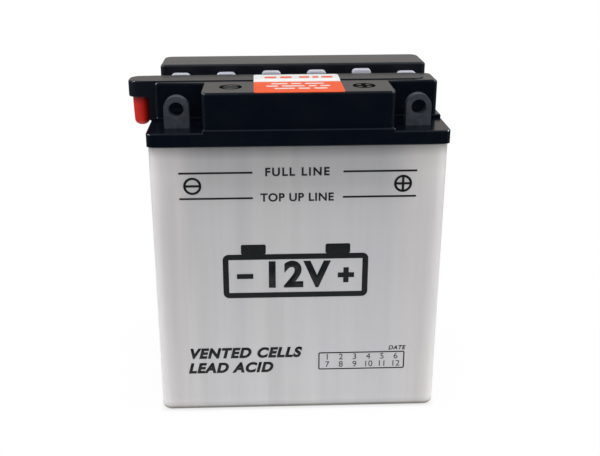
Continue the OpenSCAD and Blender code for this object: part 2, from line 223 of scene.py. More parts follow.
# Noise on Object coordinates, with its detail in octaves
def addNoise(tree, scale, detail, roughness=0.5, stretch=(1, 1, 1)):
    place = addNode(tree, "ShaderNodeTexCoord")
    turn = addNode(tree, "ShaderNodeMapping")
    turn.inputs["Scale"].default_value = stretch
    noise = addNode(tree, "ShaderNodeTexNoise")
    noise.inputs["Scale"].default_value = scale
    noise.inputs["Detail"].default_value = detail
    noise.inputs["Roughness"].default_value = roughness
    tree.links.new(place.outputs["Object"], turn.inputs["Vector"])
    tree.links.new(turn.outputs["Vector"], noise.inputs["Vector"])
    return noise.outputs["Fac"]


# The X, Y and Z of a point
def addAxes(tree, kind="Object"):
    place = addNode(tree, "ShaderNodeTexCoord")
    axes = addNode(tree, "ShaderNodeSeparateXYZ")
    tree.links.new(place.outputs[kind], axes.inputs[0])
    return axes.outputs


# Maps a value from one range to another
def addSpan(tree, value, start, end, low=0.0, high=1.0, kind="LINEAR"):
    span = addNode(tree, "ShaderNodeMapRange", interpolation_type=kind)
    for name, number in (("From Min", start), ("From Max", end), ("To Min", low), ("To Max", high)):
        span.inputs[name].default_value = number
    tree.links.new(value, span.inputs["Value"])
    return span.outputs["Result"]


# Smooth change from low to high with the distance from a middle plane across an axis
def addSide(tree, axis, middle, start, end, low=0.0, high=1.0):
    offset = addMath(tree, "SUBTRACT", addAxes(tree)[axis], middle)
    distance = addMath(tree, "ABSOLUTE", offset)
    return addSpan(tree, distance, start, end, low, high, "SMOOTHSTEP")


def addRamp(tree, source, stops):
    ramp = addNode(tree, "ShaderNodeValToRGB")
    points = ramp.color_ramp.elements
    while len(points) < len(stops):
        points.new(0.5)
    for point, (spot, colour) in zip(points, stops):
        point.position = spot
        point.color = (*colour, 1)
    tree.links.new(source, ramp.inputs["Fac"])
    return ramp.outputs["Color"]


# Ramp stops in levels of one tint
def shades(stops, tint=(1, 1, 1)):
    return [(spot, tuple(level * part for part in tint)) for spot, level in stops]


# Two tones by noise, one up to the span's start and the other from its end
def addTones(tree, noise, span, dark, light):
    return addRamp(tree, addNoise(tree, *noise), tuple(zip(span, (dark, light))))


def addMix(tree, amount, first, second, blend="MIX"):
    mix = addNode(tree, "ShaderNodeMix", data_type="RGBA", blend_type=blend)
    feed(tree, mix.inputs["Factor"], amount)
    for socket, colour in ((mix.inputs[6], first), (mix.inputs[7], second)):
        feed(tree, socket, (*colour, 1) if isinstance(colour, tuple) else colour)
    return mix.outputs[2]


# Links a finish's colour, its uneven roughness times any shares, and its grain
def addSurface(tree, shader, tone, look, *shares):
    rough = addSpan(tree, addNoise(tree, *look["wear"]), 0, 1, *look["roughness"])
    for share in shares:
        rough = addMath(tree, "MULTIPLY", rough, share)
    tree.links.new(tone, shader.inputs["Base Color"])
    tree.links.new(rough, shader.inputs["Roughness"])
    strength, depth = look["bump"]
    bump = addNode(tree, "ShaderNodeBump")
    bump.inputs["Strength"].default_value = strength
    bump.inputs["Distance"].default_value = depth * mm
    tree.links.new(addNoise(tree, *look["grain"]), bump.inputs["Height"])
    tree.links.new(bump.outputs["Normal"], shader.inputs["Normal"])


# Lets light in under the surface
def soften(shader, weight, radius, scale):
    shader.inputs["Subsurface Weight"].default_value = weight
    shader.inputs["Subsurface Radius"].default_value = radius
    shader.inputs["Subsurface Scale"].default_value = scale


# 1 for the kinds of ray that are named, and 0 for others
def addSeen(tree, *kinds):
    path = addNode(tree, "ShaderNodeLightPath")
    seen = 0.0
    for kind in kinds:
        seen = addMath(tree, "ADD", seen, path.outputs[f"Is {kind} Ray"], clamp=True)
    return seen


# Pale translucent box plastic with upright flow streaks. Its colour holds painted shade under the black
# cover, painted light at its ends and upright edges, and a painted contact shadow and highlight band at its
# foot

boxFinish = {"dull": (0.5, 0.494, 0.5), "warm": (0.645, 0.626, 0.612), "cool": (0.575, 0.572, 0.6),
             "streaks": (110, 4, 0.6, (1, 1, 0.04)), "streakSpan": (0.3, 0.7),
             "patches": (34, 3, 0.5, (1, 1, 0.14)), "patchShare": (-0.35, 1.25),
             "rim": 0.1336, "middleAt": -0.001, "ends": (0.036, 0.066),
             "middleShade": ((0.0, 0.27), (0.047, 0.64), (0.13, 0.7), (0.21, 0.85), (0.3, 0.895),
                             (1.0, 0.955)),
             "endShade": ((0.0, 0.5), (0.04, 0.97), (0.1, 1.06), (0.25, 0.985), (1.0, 0.95)),
             "endShadeTint": (1.0, 0.975, 0.95),
             "edge": (0.0575, 0.0668), "edgeFace": (0.03, 0.0385), "paintedEdgeLight": (1.3, 1.3, 1.3),
             "footReach": 0.01, "footShadowTint": (1.0, 0.965, 0.85), "paintedFootShadow": ((0.0, 0.3), (0.18, 0.4)),
             "paintedFootHighlight": ((0.29, 0.9), (0.4, 0.95), (0.5, 1.035), (0.8, 1.0)),
             "wear": (900, 3), "roughness": (0.34, 0.46), "grain": (1400, 2), "bump": (0.08, 0.05),
             "soft": (0.12, (0.004, 0.004, 0.004), 0.05), "sheen": 0.35}
boxPlastic, tree, shader = newFinish("box plastic")
tone = addTones(tree, boxFinish["streaks"], boxFinish["streakSpan"], boxFinish["dull"], boxFinish["warm"])
patches = addSpan(tree, addNoise(tree, *boxFinish["patches"]), 0, 1, *boxFinish["patchShare"])
tone = addMix(tree, patches, tone, boxFinish["cool"])
height = addAxes(tree)["Z"]
down = addSpan(tree, height, boxFinish["rim"], 0)
# Painted shade: darker towards the top under the black cover, and painted light makes it lighter towards the
# ends
middleShade = addRamp(tree, down, shades(boxFinish["middleShade"]))
endShade = addRamp(tree, down, shades(boxFinish["endShade"], boxFinish["endShadeTint"]))
ends = addSide(tree, "X", boxFinish["middleAt"], *boxFinish["ends"])
tone = addMix(tree, 1.0, tone, addMix(tree, ends, middleShade, endShade), "MULTIPLY")
# Painted highlight: lighter upright edges near the front and rear corners
nearEnd = addSide(tree, "X", 0, *boxFinish["edge"])
nearFace = addSide(tree, "Y", 0, *boxFinish["edgeFace"])
edgeLit = addMix(tree, 1.0, tone, boxFinish["paintedEdgeLight"], "MULTIPLY")
tone = addMix(tree, addMath(tree, "MULTIPLY", nearEnd, nearFace), tone, edgeLit)
# Painted contact shadow: a dark warm line along the foot, with a painted highlight band just above it
footShadeStops = shades(boxFinish["paintedFootShadow"], boxFinish["footShadowTint"]) + shades(boxFinish["paintedFootHighlight"])
foot = addRamp(tree, addSpan(tree, height, 0, boxFinish["footReach"]), footShadeStops)
tone = addMix(tree, 1.0, tone, foot, "MULTIPLY")
addSurface(tree, shader, tone, boxFinish)
soften(shader, *boxFinish["soft"])
shader.inputs["Specular IOR Level"].default_value = boxFinish["sheen"]


# Black cover plastic, satin, with a fine moulded grain; the duct is a little greyer

coverFinish = {"tones": {"cover plastic": ((0.0019, 0.0038, 0.008), (0.0037, 0.0054, 0.0094)),
                         "duct plastic": ((0.0052, 0.0078, 0.012), (0.0068, 0.0095, 0.014))},
               "sheen": {"cover plastic": 0.5, "duct plastic": 0.31},
               "blotches": (70, 4, 0.6), "span": (0.4, 0.78),
               "gloss": (0.142, 0.146, 0.95), "dull": (0.0135, 0.0006, 0.0014, 2.4),
               "wear": (240, 5, 0.65), "roughness": (0.16, 0.26), "grain": (2600, 2), "bump": (0.12, 0.05)}


def blackPlastic(name):
    finish, tree, shader = newFinish(name)
    tone = addTones(tree, coverFinish["blotches"], coverFinish["span"], *coverFinish["tones"][name])
    low, high, share = coverFinish["gloss"]
    skirt = addSide(tree, "Z", 0, low, high, share, 1)          # smoother on the skirt and the ledge
    at, near, far, share = coverFinish["dull"]
    railFront = addSide(tree, "Y", at, near, far, share, 1)     # duller on the rail's front
    addSurface(tree, shader, tone, coverFinish, skirt, railFront)
    shader.inputs["Specular IOR Level"].default_value = coverFinish["sheen"][name]
    return finish


coverPlastic = blackPlastic("cover plastic")
ductPlastic = blackPlastic("duct plastic")


# Soft red vinyl, with painted shade under the elbow and on the side towards the box

capFinish = {"deep": (0.52, 0.006, 0.003), "light": (0.62, 0.012, 0.006),
             "blotches": (260, 3), "span": (0.35, 0.7),
             "under": (0.1455, 0.1498, 0.5), "shadeBeside": (-0.0765, 0.0042, 0.0078, 0.4),
             "wear": (700, 3), "roughness": (0.34, 0.48), "grain": (1800, 2), "bump": (0.1, 0.05),
             "soft": (0.1, (0.003, 0.0008, 0.0005), 0.05)}
capVinyl, tree, shader = newFinish("cap vinyl")
tone = addTones(tree, capFinish["blotches"], capFinish["span"], capFinish["deep"], capFinish["light"])
# Painted shade: darker at the cap's top under the elbow and on its side towards the web
low, high, share = capFinish["under"]
under = addSide(tree, "Z", 0, low, high, 1, share)
at, near, far, share = capFinish["shadeBeside"]
shadeBeside = addSide(tree, "X", at, near, far, 1, share)
tone = addMix(tree, 1.0, tone, addMath(tree, "MULTIPLY", under, shadeBeside), "MULTIPLY")
addSurface(tree, shader, tone, capFinish)
soften(shader, *capFinish["soft"])


# Dull cast lead of the blades

bladeFinish = {"dark": (0.038, 0.048, 0.062), "light": (0.066, 0.078, 0.096), "blotches": (330, 5, 0.6),
               "span": (0.32, 0.72), "wear": (520, 4), "roughness": (0.42, 0.62), "grain": (1100, 4, 0.6),
               "bump": (0.18, 0.08), "metal": 0.25}
bladeLead, tree, shader = newFinish("blade lead")
tone = addTones(tree, bladeFinish["blotches"], bladeFinish["span"], bladeFinish["dark"], bladeFinish["light"])
addSurface(tree, shader, tone, bladeFinish)
shader.inputs["Metallic"].default_value = bladeFinish["metal"]


# Plainer finishes of two tones, with wear and grain finer than their blotches

plainFinishes = {
    "plug plastic": {"dark": (0.51, 0.52, 0.59), "light": (0.58, 0.59, 0.66), "scale": 180,
                     "roughness": (0.32, 0.44), "bump": 0.06, "soft": (0.6, (1.0, 1.0, 1.0), 0.002)},
    "plate lead": {"dark": (0.12, 0.12, 0.13), "light": (0.22, 0.22, 0.24), "scale": 240,
                   "roughness": (0.5, 0.7), "metal": 0.3},
    "plate dioxide": {"dark": (0.045, 0.026, 0.018), "light": (0.085, 0.05, 0.035), "scale": 300,
                      "roughness": (0.7, 0.9)},
    "separator sheet": {"dark": (0.68, 0.68, 0.62), "light": (0.8, 0.8, 0.75), "scale": 500,
                        "roughness": (0.75, 0.9), "stretch": (1, 1, 0.2)},
    "seal rubber": {"dark": (0.012, 0.012, 0.012), "light": (0.022, 0.022, 0.023), "scale": 400,
                    "roughness": (0.6, 0.75)},
    # painted shade for the engraved signs on the deck
    "sign shade": {"dark": (0.001, 0.0012, 0.0016), "light": (0.002, 0.0023, 0.003), "scale": 600,
                  "roughness": (0.75, 0.9), "bump": 0.1, "sheen": 0.03},
    "print ink": {"dark": (0.003, 0.004, 0.006), "light": (0.007, 0.009, 0.011), "scale": 500,
                  "roughness": (0.4, 0.55), "bump": 0.05, "sheen": 0.3},
    "label white": {"dark": (0.83, 0.815, 0.8), "light": (0.88, 0.865, 0.85), "scale": 120,
                    "roughness": (0.3, 0.4), "bump": 0.04},
    "label orange": {"dark": (0.87, 0.097, 0.02), "light": (0.93, 0.115, 0.028), "scale": 120,
                     "roughness": (0.4, 0.5), "bump": 0.04, "sheen": 0.25}}
plainSet = {"detail": (4, 0.6), "span": (0.35, 0.7), "wearTimes": 2, "grainTimes": 4, "fineDetail": 3,
            "bumpDepth": 0.06}


def twoTone(name, dark, light, scale, roughness, stretch=(1, 1, 1), bump=0.15, metal=0.0, sheen=0.5,
            soft=None):
    finish, tree, shader = newFinish(name)
    tone = addTones(tree, (scale, *plainSet["detail"], stretch), plainSet["span"], dark, light)
    look = {"wear": (scale * plainSet["wearTimes"], plainSet["fineDetail"]), "roughness": roughness,
            "grain": (scale * plainSet["grainTimes"], plainSet["fineDetail"]),
            "bump": (bump, plainSet["bumpDepth"])}
    addSurface(tree, shader, tone, look)
    shader.inputs["Metallic"].default_value = metal
    shader.inputs["Specular IOR Level"].default_value = sheen
    if soft:
        soften(shader, *soft)
    return finish


plain = {name: twoTone(name, **look) for name, look in plainFinishes.items()}
print("stage: finishes made")


# Container

containerSet = {"smooth": 30}
container = copyNode("container", "containerShell")
smooth(container, containerSet["smooth"])
container.data.materials.append(boxPlastic)
hand(container, "battery", "container_plastic", "container")
print("stage: container")


# Cover, with the width and the steps of each kind of rounded edge first

coverSet = {"topEdge": (1.3, 5), "lipEdge": (1.4, 5), "pocketEdge": (0.12, 2), "rimEdge": (0.9, 4),
            "endEdge": (0.25, 3), "footEdge": (0.15, 2), "coverEdge": (0.5, 3),
            "skirtTop": 139, "ledge": 139.6, "lip": 141.1, "deck": 157.0, "rail": 160.2,
            "deckFront": -38.4, "lipFront": -39.95, "blockHalf": 42.2, "outside": (66.2, 39.2),
            "plugRow": 8.7, "neckReach": (62, 4.6), "neckTop": 149.5,
            "postAt": (54, -24.5), "postReach": 6, "postTop": 141,
            "signAt": (29.8, -25.2), "signReach": 5.8, "signLow": 155,
            "ductRow": -4.8, "ductHalf": 3.7, "ductEnd": 58}


def atLevel(edge, *names):
    return isSharp(edge) and any(isNear(placeOf(edge).z, coverSet[name]) for name in names)


def nearSign(part):
    x, y, z = placeOf(part)
    away = Vector((abs(x), y)) - Vector(coverSet["signAt"])
    return z > coverSet["signLow"] and away.length < coverSet["signReach"]


def inChannel(part):
    x, y, z = placeOf(part)
    return abs(y - coverSet["ductRow"]) < coverSet["ductHalf"] and x < coverSet["ductEnd"]


# Top edges of the deck and the rail
def topEdge(edge):
    blockSide = isNear(abs(placeOf(edge).x), coverSet["blockHalf"])
    return atLevel(edge, "deck", "rail") and not (blockSide or nearSign(edge) or inChannel(edge))


# Front edge of the lip below the deck
def lipEdge(edge):
    return atLevel(edge, "lip") and placeOf(edge).y < coverSet["lipFront"]


# Edge of the lip along the foot of the pockets' rear walls
def pocketEdge(edge):
    x, y, z = placeOf(edge)
    return atLevel(edge, "lip") and abs(x) > coverSet["blockHalf"] and coverSet["deckFront"] < y < 0


# Outer edges of the ledge and the lip, at the front and the rear and then at the ends
def rimEdge(edge):
    return atLevel(edge, "ledge", "lip") and abs(placeOf(edge).y) > coverSet["outside"][1]


def endEdge(edge):
    return atLevel(edge, "ledge", "lip") and abs(placeOf(edge).x) > coverSet["outside"][0]


# Outer edges of the skirt, below the ledge
def footEdge(edge):
    x, y, z = placeOf(edge)
    outer = abs(x) > coverSet["outside"][0] or abs(y) > coverSet["outside"][1]
    return isSharp(edge) and z < coverSet["skirtTop"] and outer


# All other sharp edges, but for the signs, the duct's channel, the filler necks and the posts' sleeves
def coverEdge(edge):
    x, y, z = placeOf(edge)
    if not isSharp(edge) or z < coverSet["skirtTop"] or nearSign(edge) or inChannel(edge):
        return False
    neckX, neckY = coverSet["neckReach"]
    atNeck = z < coverSet["neckTop"] and abs(y - coverSet["plugRow"]) < neckY and abs(x) < neckX
    postX, postY = coverSet["postAt"]
    reach = coverSet["postReach"]
    atPost = z < coverSet["postTop"] and abs(y - postY) < reach and abs(abs(x) - postX) < reach
    return not (atNeck or atPost)


cover = copyNode("top_cover", "coverMoulding")
counts = []
for name, test in (("topEdge", topEdge), ("lipEdge", lipEdge), ("pocketEdge", pocketEdge),
                   ("rimEdge", rimEdge), ("endEdge", endEdge), ("footEdge", footEdge),
                   ("coverEdge", coverEdge)):
    counts.append(roundEdges(cover, coverSet[name], test))
smooth(cover)
cover.data.materials.append(coverPlastic)
# Painted shade: the faces of the engraved signs get a dark finish that shows no reflection
signFloor = coverSet["deck"] - meshSet["level"]
signCount = paintFaces(cover, plain["sign shade"], lambda face: nearSign(face) and placeOf(face).z < signFloor)
hand(cover, "battery", "cover_plastic", "top_cover")
print("stage: cover,", counts, "edges rounded,", signCount, "sign faces")


# Gas duct, whose web beside the cap reaches down past the ledge

ductSet = {"edge": (0.34, 3), "elbowEdge": (0.8, 3), "elbowFoot": (0.35, 3),
           "elbowEnd": -65.1, "elbowDepth": 7.5, "nipple": (-72.3, -4.8), "nippleReach": 3,
           "webLevel": 141.1, "webSide": -67.02, "webDrop": 2.1, "facingDown": -0.9}
duct = copyNode("vent_duct", "ductStrip")
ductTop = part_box("vent_duct")[1].z / mm


def webFoot(face):
    return face.normal.z < ductSet["facingDown"] and isNear(placeOf(face).z, ductSet["webLevel"])


def topOfDuct(edge):
    return isSharp(edge) and placeOf(edge).z > ductTop - meshSet["level"]


def elbowFoot(edge):
    spot = placeOf(edge)
    atNipple = (spot.xy - Vector(ductSet["nipple"])).length < ductSet["nippleReach"]
    atFoot = spot.x < ductSet["elbowEnd"] and isNear(spot.z, ductTop - ductSet["elbowDepth"])
    return isSharp(edge) and atFoot and not atNipple


openMesh(duct, "FACE")
choose(duct, "faces", webFoot)
bpy.ops.mesh.bisect(plane_co=(ductSet["webSide"] * mm, 0, 0), plane_no=(1, 0, 0))
bpy.ops.mesh.select_all(action="DESELECT")
webCount = choose(duct, "faces", lambda face: webFoot(face) and placeOf(face).x < ductSet["webSide"])
bpy.ops.mesh.extrude_region_move(TRANSFORM_OT_translate={"value": (0, 0, -ductSet["webDrop"] * mm)})
closeMesh()
elbowCount = roundEdges(duct, ductSet["elbowEdge"],
                        lambda edge: topOfDuct(edge) and placeOf(edge).x < ductSet["elbowEnd"])
footCount = roundEdges(duct, ductSet["elbowFoot"], elbowFoot)
stripCount = roundEdges(duct, ductSet["edge"],
                        lambda edge: topOfDuct(edge) and placeOf(edge).x > ductSet["elbowEnd"])
smooth(duct)
duct.data.materials.append(ductPlastic)
hand(duct, "battery", "cover_plastic", "vent_duct")
print("stage: duct,", webCount, "web face,", elbowCount, footCount, stripCount, "edges rounded")


# Red cap

capSet = {"edge": (0.4, 3), "topReach": 0.01}
cap = copyNode("vent_cap", "redCap")
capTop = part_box("vent_cap")[1].z / mm
capCount = roundEdges(cap, capSet["edge"],
                      lambda edge: isSharp(edge) and placeOf(edge).z > capTop - capSet["topReach"])
smooth(cap)
cap.data.materials.append(capVinyl)
hand(cap, "red_cap", "cap_vinyl", "vent_cap")
print("stage: cap,", capCount, "edges rounded")


# Terminal blades, with a cast rim

bladeSet = {"rim": (0.75, 3), "holeEdge": (0.5, 2), "hole": (54, 148.0), "holeReach": 3.6, "foot": 139.9,
            "thick": 4.5}


def bladeHole(edge):
    spot = placeOf(edge)
    x, z = bladeSet["hole"]
    return isSharp(edge) and math.hypot(abs(spot.x) - x, spot.z - z) < bladeSet["holeReach"]


def bladeRim(edge, front):
    spot = placeOf(edge)
    onFace = isNear(spot.y, front) or isNear(spot.y, front + bladeSet["thick"])
    return isSharp(edge) and onFace and spot.z > bladeSet["foot"] and not bladeHole(edge)


for side in ("negative", "positive"):
    blade = copyNode("terminal_" + side, "blade_" + side)
    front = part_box("terminal_" + side)[0].y / mm
    rimCount = roundEdges(blade, bladeSet["rim"], lambda edge: bladeRim(edge, front))
    holeCount = roundEdges(blade, bladeSet["holeEdge"], bladeHole)
    smooth(blade)
    blade.data.materials.append(bladeLead)
    hand(blade, "battery", "terminal_lead", "terminal_" + side)
    print("stage: blade", side, rimCount, holeCount, "edges rounded")


# Plugs, rounded on their heads

plugSet = {"count": 6, "edge": (0.5, 3), "head": 5.35}
for k in range(1, plugSet["count"] + 1):
    plug = copyNode(f"vent_plug_{k}", f"plug_{k}_body")
    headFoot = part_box(f"vent_plug_{k}")[1].z / mm - plugSet["head"]
    count = roundEdges(plug, plugSet["edge"], lambda edge: isSharp(edge) and placeOf(edge).z > headFoot)
    smooth(plug)
    plug.data.materials.append(plain["plug plastic"])
    hand(plug, f"plug_{k}", "plug_plastic", f"vent_plug_{k}")
print("stage: plugs,", count, "edges rounded on the last")


# Pieces inside keep their CAD shapes

insideFinishes = {"post_seal": "seal rubber", "plug_seal": "seal rubber", "post_": "plate lead",
                  "negative_plates": "plate lead", "positive_plates": "plate dioxide",
                  "separators": "separator sheet", "cell_link": "plate lead"}
for name, node in nodes.items():
    for start, finish in insideFinishes.items():
        if name.startswith(start):
            node.data.materials.clear()
            node.data.materials.append(plain[finish])
            break
print("stage: inner pieces finished")


# Label, a plain two-colour sticker

labelSet = {"split": -15.8, "stepAt": -11.7, "ramp": 0.4, "bendCuts": (0.75, 1.0),
            "lift": 0.02, "thick": 0.22, "ink": 0.03,
            "corners": (0.8, 1.8), "cornerSteps": 6, "rowReach": 0.01}
labelLow, labelHigh = (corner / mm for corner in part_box("top_label"))


# Height of the face under the label: rounded front edge, flat deck, step up to the duct strip
def labelLevel(y):
    climb = (y - labelSet["stepAt"] + labelSet["ramp"]) / labelSet["ramp"]
    level = coverSet["deck"] + (ductTop - coverSet["deck"]) * min(max(climb, 0), 1)
    radius = coverSet["topEdge"][0]
    bend = coverSet["deckFront"] + radius - y
    if bend > 0:
        level -= radius - math.sqrt(radius ** 2 - bend ** 2)
    return level


# A thin patch with rounded corners that follows the deck's front edge and the duct's step
def labelPatch(name, xs, ys, corners, lift, thick, finish, upperFinish=None):
    patch = openSheet(xs, ys)
    patch.name = name
    for row, corner in zip(ys, corners):
        bpy.ops.mesh.select_all(action="DESELECT")
        choose(patch, "verts", lambda spot: abs(spot.co.y / mm - row) < labelSet["rowReach"])
        bpy.ops.mesh.bevel(offset=corner * mm, segments=labelSet["cornerSteps"], affect="VERTICES")
    bends = (*labelSet["bendCuts"], coverSet["topEdge"][0])
    cuts = [labelSet["split"], labelSet["stepAt"] - labelSet["ramp"], labelSet["stepAt"]]
    cuts += [coverSet["deckFront"] + bend for bend in bends]
    for cut in cuts:
        if ys[0] < cut < ys[1]:
            bpy.ops.mesh.select_all(action="SELECT")
            bpy.ops.mesh.bisect(plane_co=(0, cut * mm, 0), plane_no=(0, 1, 0))
    closeMesh()
    for spot in patch.data.vertices:
        spot.co.z = (labelLevel(spot.co.y / mm) + lift) * mm
    patch.data.materials.append(finish)
    if upperFinish:
        paintFaces(patch, upperFinish, lambda face: placeOf(face).y > labelSet["split"])
    thicken(patch, thick)
    return patch


label = labelPatch("labelFilm", (labelLow.x, labelHigh.x), (labelLow.y, labelHigh.y), labelSet["corners"],
                   labelSet["lift"], labelSet["thick"], plain["label orange"], plain["label white"])
hand(label, "battery", "label_film", "top_label")

# Plain bars stand where the sticker was printed
barSet = {
    "label white": {"depth": 2.0, "corner": 0.6,
                    "rows": {-20.4: ((-11.6, -4.2), (-2.6, 2.0), (3.6, 12.2)),
                             -25.6: ((-14.0, -8.6), (-7.0, 3.4), (5.0, 8.6), (10.2, 14.6)),
                             -30.8: ((-10.4, -1.4), (0.2, 5.4), (7.0, 13.0))}},
    "label orange": {"depth": 3.6, "corner": 0.7,
                     "rows": {-7.4: ((-14.4, -9.0), (-7.2, -1.8), (1.6, 6.4), (7.8, 10.6), (12.0, 17.2))}}}
bars = []
for finish, style in barSet.items():
    for row, spans in style["rows"].items():
        ys = (row - style["depth"] / 2, row + style["depth"] / 2)
        for xs in spans:
            bars.append(labelPatch(f"labelBar_{len(bars) + 1}", xs, ys, (style["corner"], style["corner"]),
                                   labelSet["thick"] + labelSet["lift"], labelSet["ink"], plain[finish]))
labelBars = joinPieces(bars, "labelBars")
hand(labelBars, "battery", "label_film")
print("stage: label,", len(bars), "bars")


# Marks printed on the container's front, drawn flat as x and z and then stood up against the face

printSet = {"foot": 2.5, "footFace": -39.5, "shoulder": 133.1, "shoulderFace": -39.6,
            "lift": 0.02, "thick": 0.03, "cornerSteps": 8, "ringSides": 64, "capShare": 0.7, "merge": 0.005}
marks = []


def inkAndShadeBar(x0, x1, z0, z1, corner=0.0):
    bar = openSheet((x0, x1), (z0, z1))
    if corner:
        bpy.ops.mesh.bevel(offset=corner * mm, segments=printSet["cornerSteps"], affect="VERTICES")
    closeMesh()
    marks.append(bar)
    return bar


# Leaves only a line along a flat shape's border
def hollow(shape, line):
    openWhole(shape, "FACE")
    bpy.ops.mesh.inset(thickness=line * mm)
    bpy.ops.mesh.delete(type="FACE")
    closeMesh()


def inkAndShadeRing(x, z, radius, line):
    bpy.ops.object.select_all(action="DESELECT")
    bpy.ops.mesh.primitive_circle_add(vertices=printSet["ringSides"], radius=radius * mm, fill_type="NGON",
                                      location=(x * mm, z * mm, 0))
    ring = bpy.context.active_object
    bpy.ops.object.transform_apply(location=True, rotation=True, scale=True)
    hollow(ring, line)
    marks.append(ring)


# A minus sign, or a plus sign of three bars that don't overlap
def inkAndShadeSign(x, z, half, thick, plus):
    inkAndShadeBar(x - half, x + half, z - thick, z + thick)
    if plus:
        inkAndShadeBar(x - thick, x + thick, z + thick, z + half)
        inkAndShadeBar(x - thick, x + thick, z - half, z - thick)


def inkWord(text, x, z, height, spacing=1.0, bold=0.0, lean=0.0, align="CENTER"):
    bpy.ops.object.select_all(action="DESELECT")
    bpy.ops.object.text_add(location=(0, 0, 0))
    word = bpy.context.active_object
    word.data.body = text
    word.data.align_x = align
    word.data.align_y = "CENTER"
    word.data.size = height * mm / printSet["capShare"]
    word.data.space_character = spacing
    word.data.offset = bold * mm
    word.data.shear = lean
    bpy.ops.object.convert(target="MESH")
    word = bpy.context.active_object
    word.location = (x * mm, z * mm, 0)
    bpy.ops.object.transform_apply(location=True, rotation=True, scale=True)
    openWhole(word)
    bpy.ops.mesh.remove_doubles(threshold=printSet["merge"] * mm)
    closeMesh()
    marks.append(word)


# Faces flat marks outwards and gives them their thickness and their ink, or on the deck's signs their painted
# shade
def inkAndShadeBody(piece, outward, finish):
    openMesh(piece, "FACE")
    choose(piece, "faces", lambda face: face.normal.dot(outward) < 0)
    bpy.ops.mesh.flip_normals()
    closeMesh()
    thicken(piece, printSet["thick"])
    piece.data.materials.clear()
    piece.data.materials.append(finish)


# Level lines with their words, and the poles between them
levelSet = {"rows": (121.45, 109.5), "lines": ((-53.5, -20.6), (19.8, 52.8)), "depth": 0.88,
            "signs": (-47.5, 46.7), "signRow": 115.45, "radius": 4.05, "line": 1.1,
            "wordAt": -0.75, "wordHeight": 3.7,
            "words": {"FULL LINE": {"spacing": 1.25, "bold": 0.17},
                      "TOP UP LINE": {"spacing": 1.1, "bold": 0.15}}}
for level in levelSet["rows"]:
    for x0, x1 in levelSet["lines"]:
        inkAndShadeBar(x0, x1, level - levelSet["depth"] / 2, level + levelSet["depth"] / 2)
halfLine = levelSet["line"] / 2
for x, plus in zip(levelSet["signs"], (False, True)):
    inkAndShadeRing(x, levelSet["signRow"], levelSet["radius"], levelSet["line"])
    inkAndShadeSign(x, levelSet["signRow"], levelSet["radius"] - halfLine, halfLine, plus)
for level, (text, style) in zip(levelSet["rows"], levelSet["words"].items()):
    inkWord(text, levelSet["wordAt"], level, levelSet["wordHeight"], **style)

# Plain pictogram of a battery
pictogram = {"x": (-35.0, 32.2), "z": (60.2, 82.2), "corner": 2.8, "line": 2.7, "stub": (11.4, 4.8),
             "stubCorner": 0.8, "stubAt": 19.4, "sign": (7.6, 2.5), "signAt": 23.4,
             "word": {"height": 12.2, "spacing": 1.14, "bold": 0.75}}
left, right = pictogram["x"]
low, high = pictogram["z"]
middle = (left + right) / 2
centre = (low + high) / 2
hollow(inkAndShadeBar(left, right, low, high, pictogram["corner"]), pictogram["line"])
stubWide, stubHigh = pictogram["stub"]
signLong, signThick = pictogram["sign"]
for way in (-1, 1):
    stub = middle + way * pictogram["stubAt"]
    inkAndShadeBar(stub - stubWide / 2, stub + stubWide / 2, high, high + stubHigh, pictogram["stubCorner"])
    inkAndShadeSign(middle + way * pictogram["signAt"], centre, signLong / 2, signThick / 2, way > 0)
inkWord("12V", middle, centre, **pictogram["word"])

# The kind of cell, in two lines
kindSet = {"lines": {"VENTED CELLS": (-52.4, 30.9), "LEAD ACID": (-52.9, 23.0)},
           "style": {"height": 5.0, "spacing": 1.14, "bold": 0.38, "lean": 0.25, "align": "LEFT"}}
for text, (x, z) in kindSet["lines"].items():
    inkWord(text, x, z, **kindSet["style"])

# Panel of month numbers
monthPanel = {"x": (9.6, 51.2), "z": (21.3, 30.7), "corner": 0.9, "line": 0.6, "columns": 6, "rows": 2,
              "margin": 1, "rowShift": 0.35, "height": 3.1, "headLift": 1.8,
              "head": {"height": 2.1, "spacing": 1.1, "bold": 0.08, "lean": 0.2, "align": "RIGHT"}}
left, right = monthPanel["x"]
low, high = monthPanel["z"]
hollow(inkAndShadeBar(left, right, low, high, monthPanel["corner"]), monthPanel["line"])
inkWord("DATE", right, high + monthPanel["headLift"], **monthPanel["head"])
cellWide = (right - left - 2 * monthPanel["margin"]) / monthPanel["columns"]
rowHigh = (high - low) / monthPanel["rows"]
for month in range(monthPanel["columns"] * monthPanel["rows"]):
    row, column = divmod(month, monthPanel["columns"])
    shift = monthPanel["rowShift"] if row else -monthPanel["rowShift"]
    inkWord(str(month + 1), left + monthPanel["margin"] + cellWide * (column + 0.5),
            high - rowHigh * (row + 0.5) + shift, monthPanel["height"])

frontPrint = joinPieces(marks, "frontPrint")
draft = math.atan2(printSet["shoulderFace"] - printSet["footFace"], printSet["shoulder"] - printSet["foot"])
ontoFace = Matrix.Translation((0, (printSet["footFace"] - printSet["lift"]) * mm, printSet["foot"] * mm))
standUp = Matrix.Rotation(math.pi / 2 - draft, 4, "X")
frontPrint.matrix_world = ontoFace @ standUp @ Matrix.Translation((0, -printSet["foot"] * mm, 0))
pick(frontPrint)
bpy.ops.object.transform_apply(location=True, rotation=True, scale=True)
inkAndShadeBody(frontPrint, Vector((0, -1, 0)), plain["print ink"])
hand(frontPrint, "battery", "label_film")
print("stage: front marks,", len(marks), "joined")


# Dark sheets on the signs on the deck: painted shade that stands for the shade in their engraving

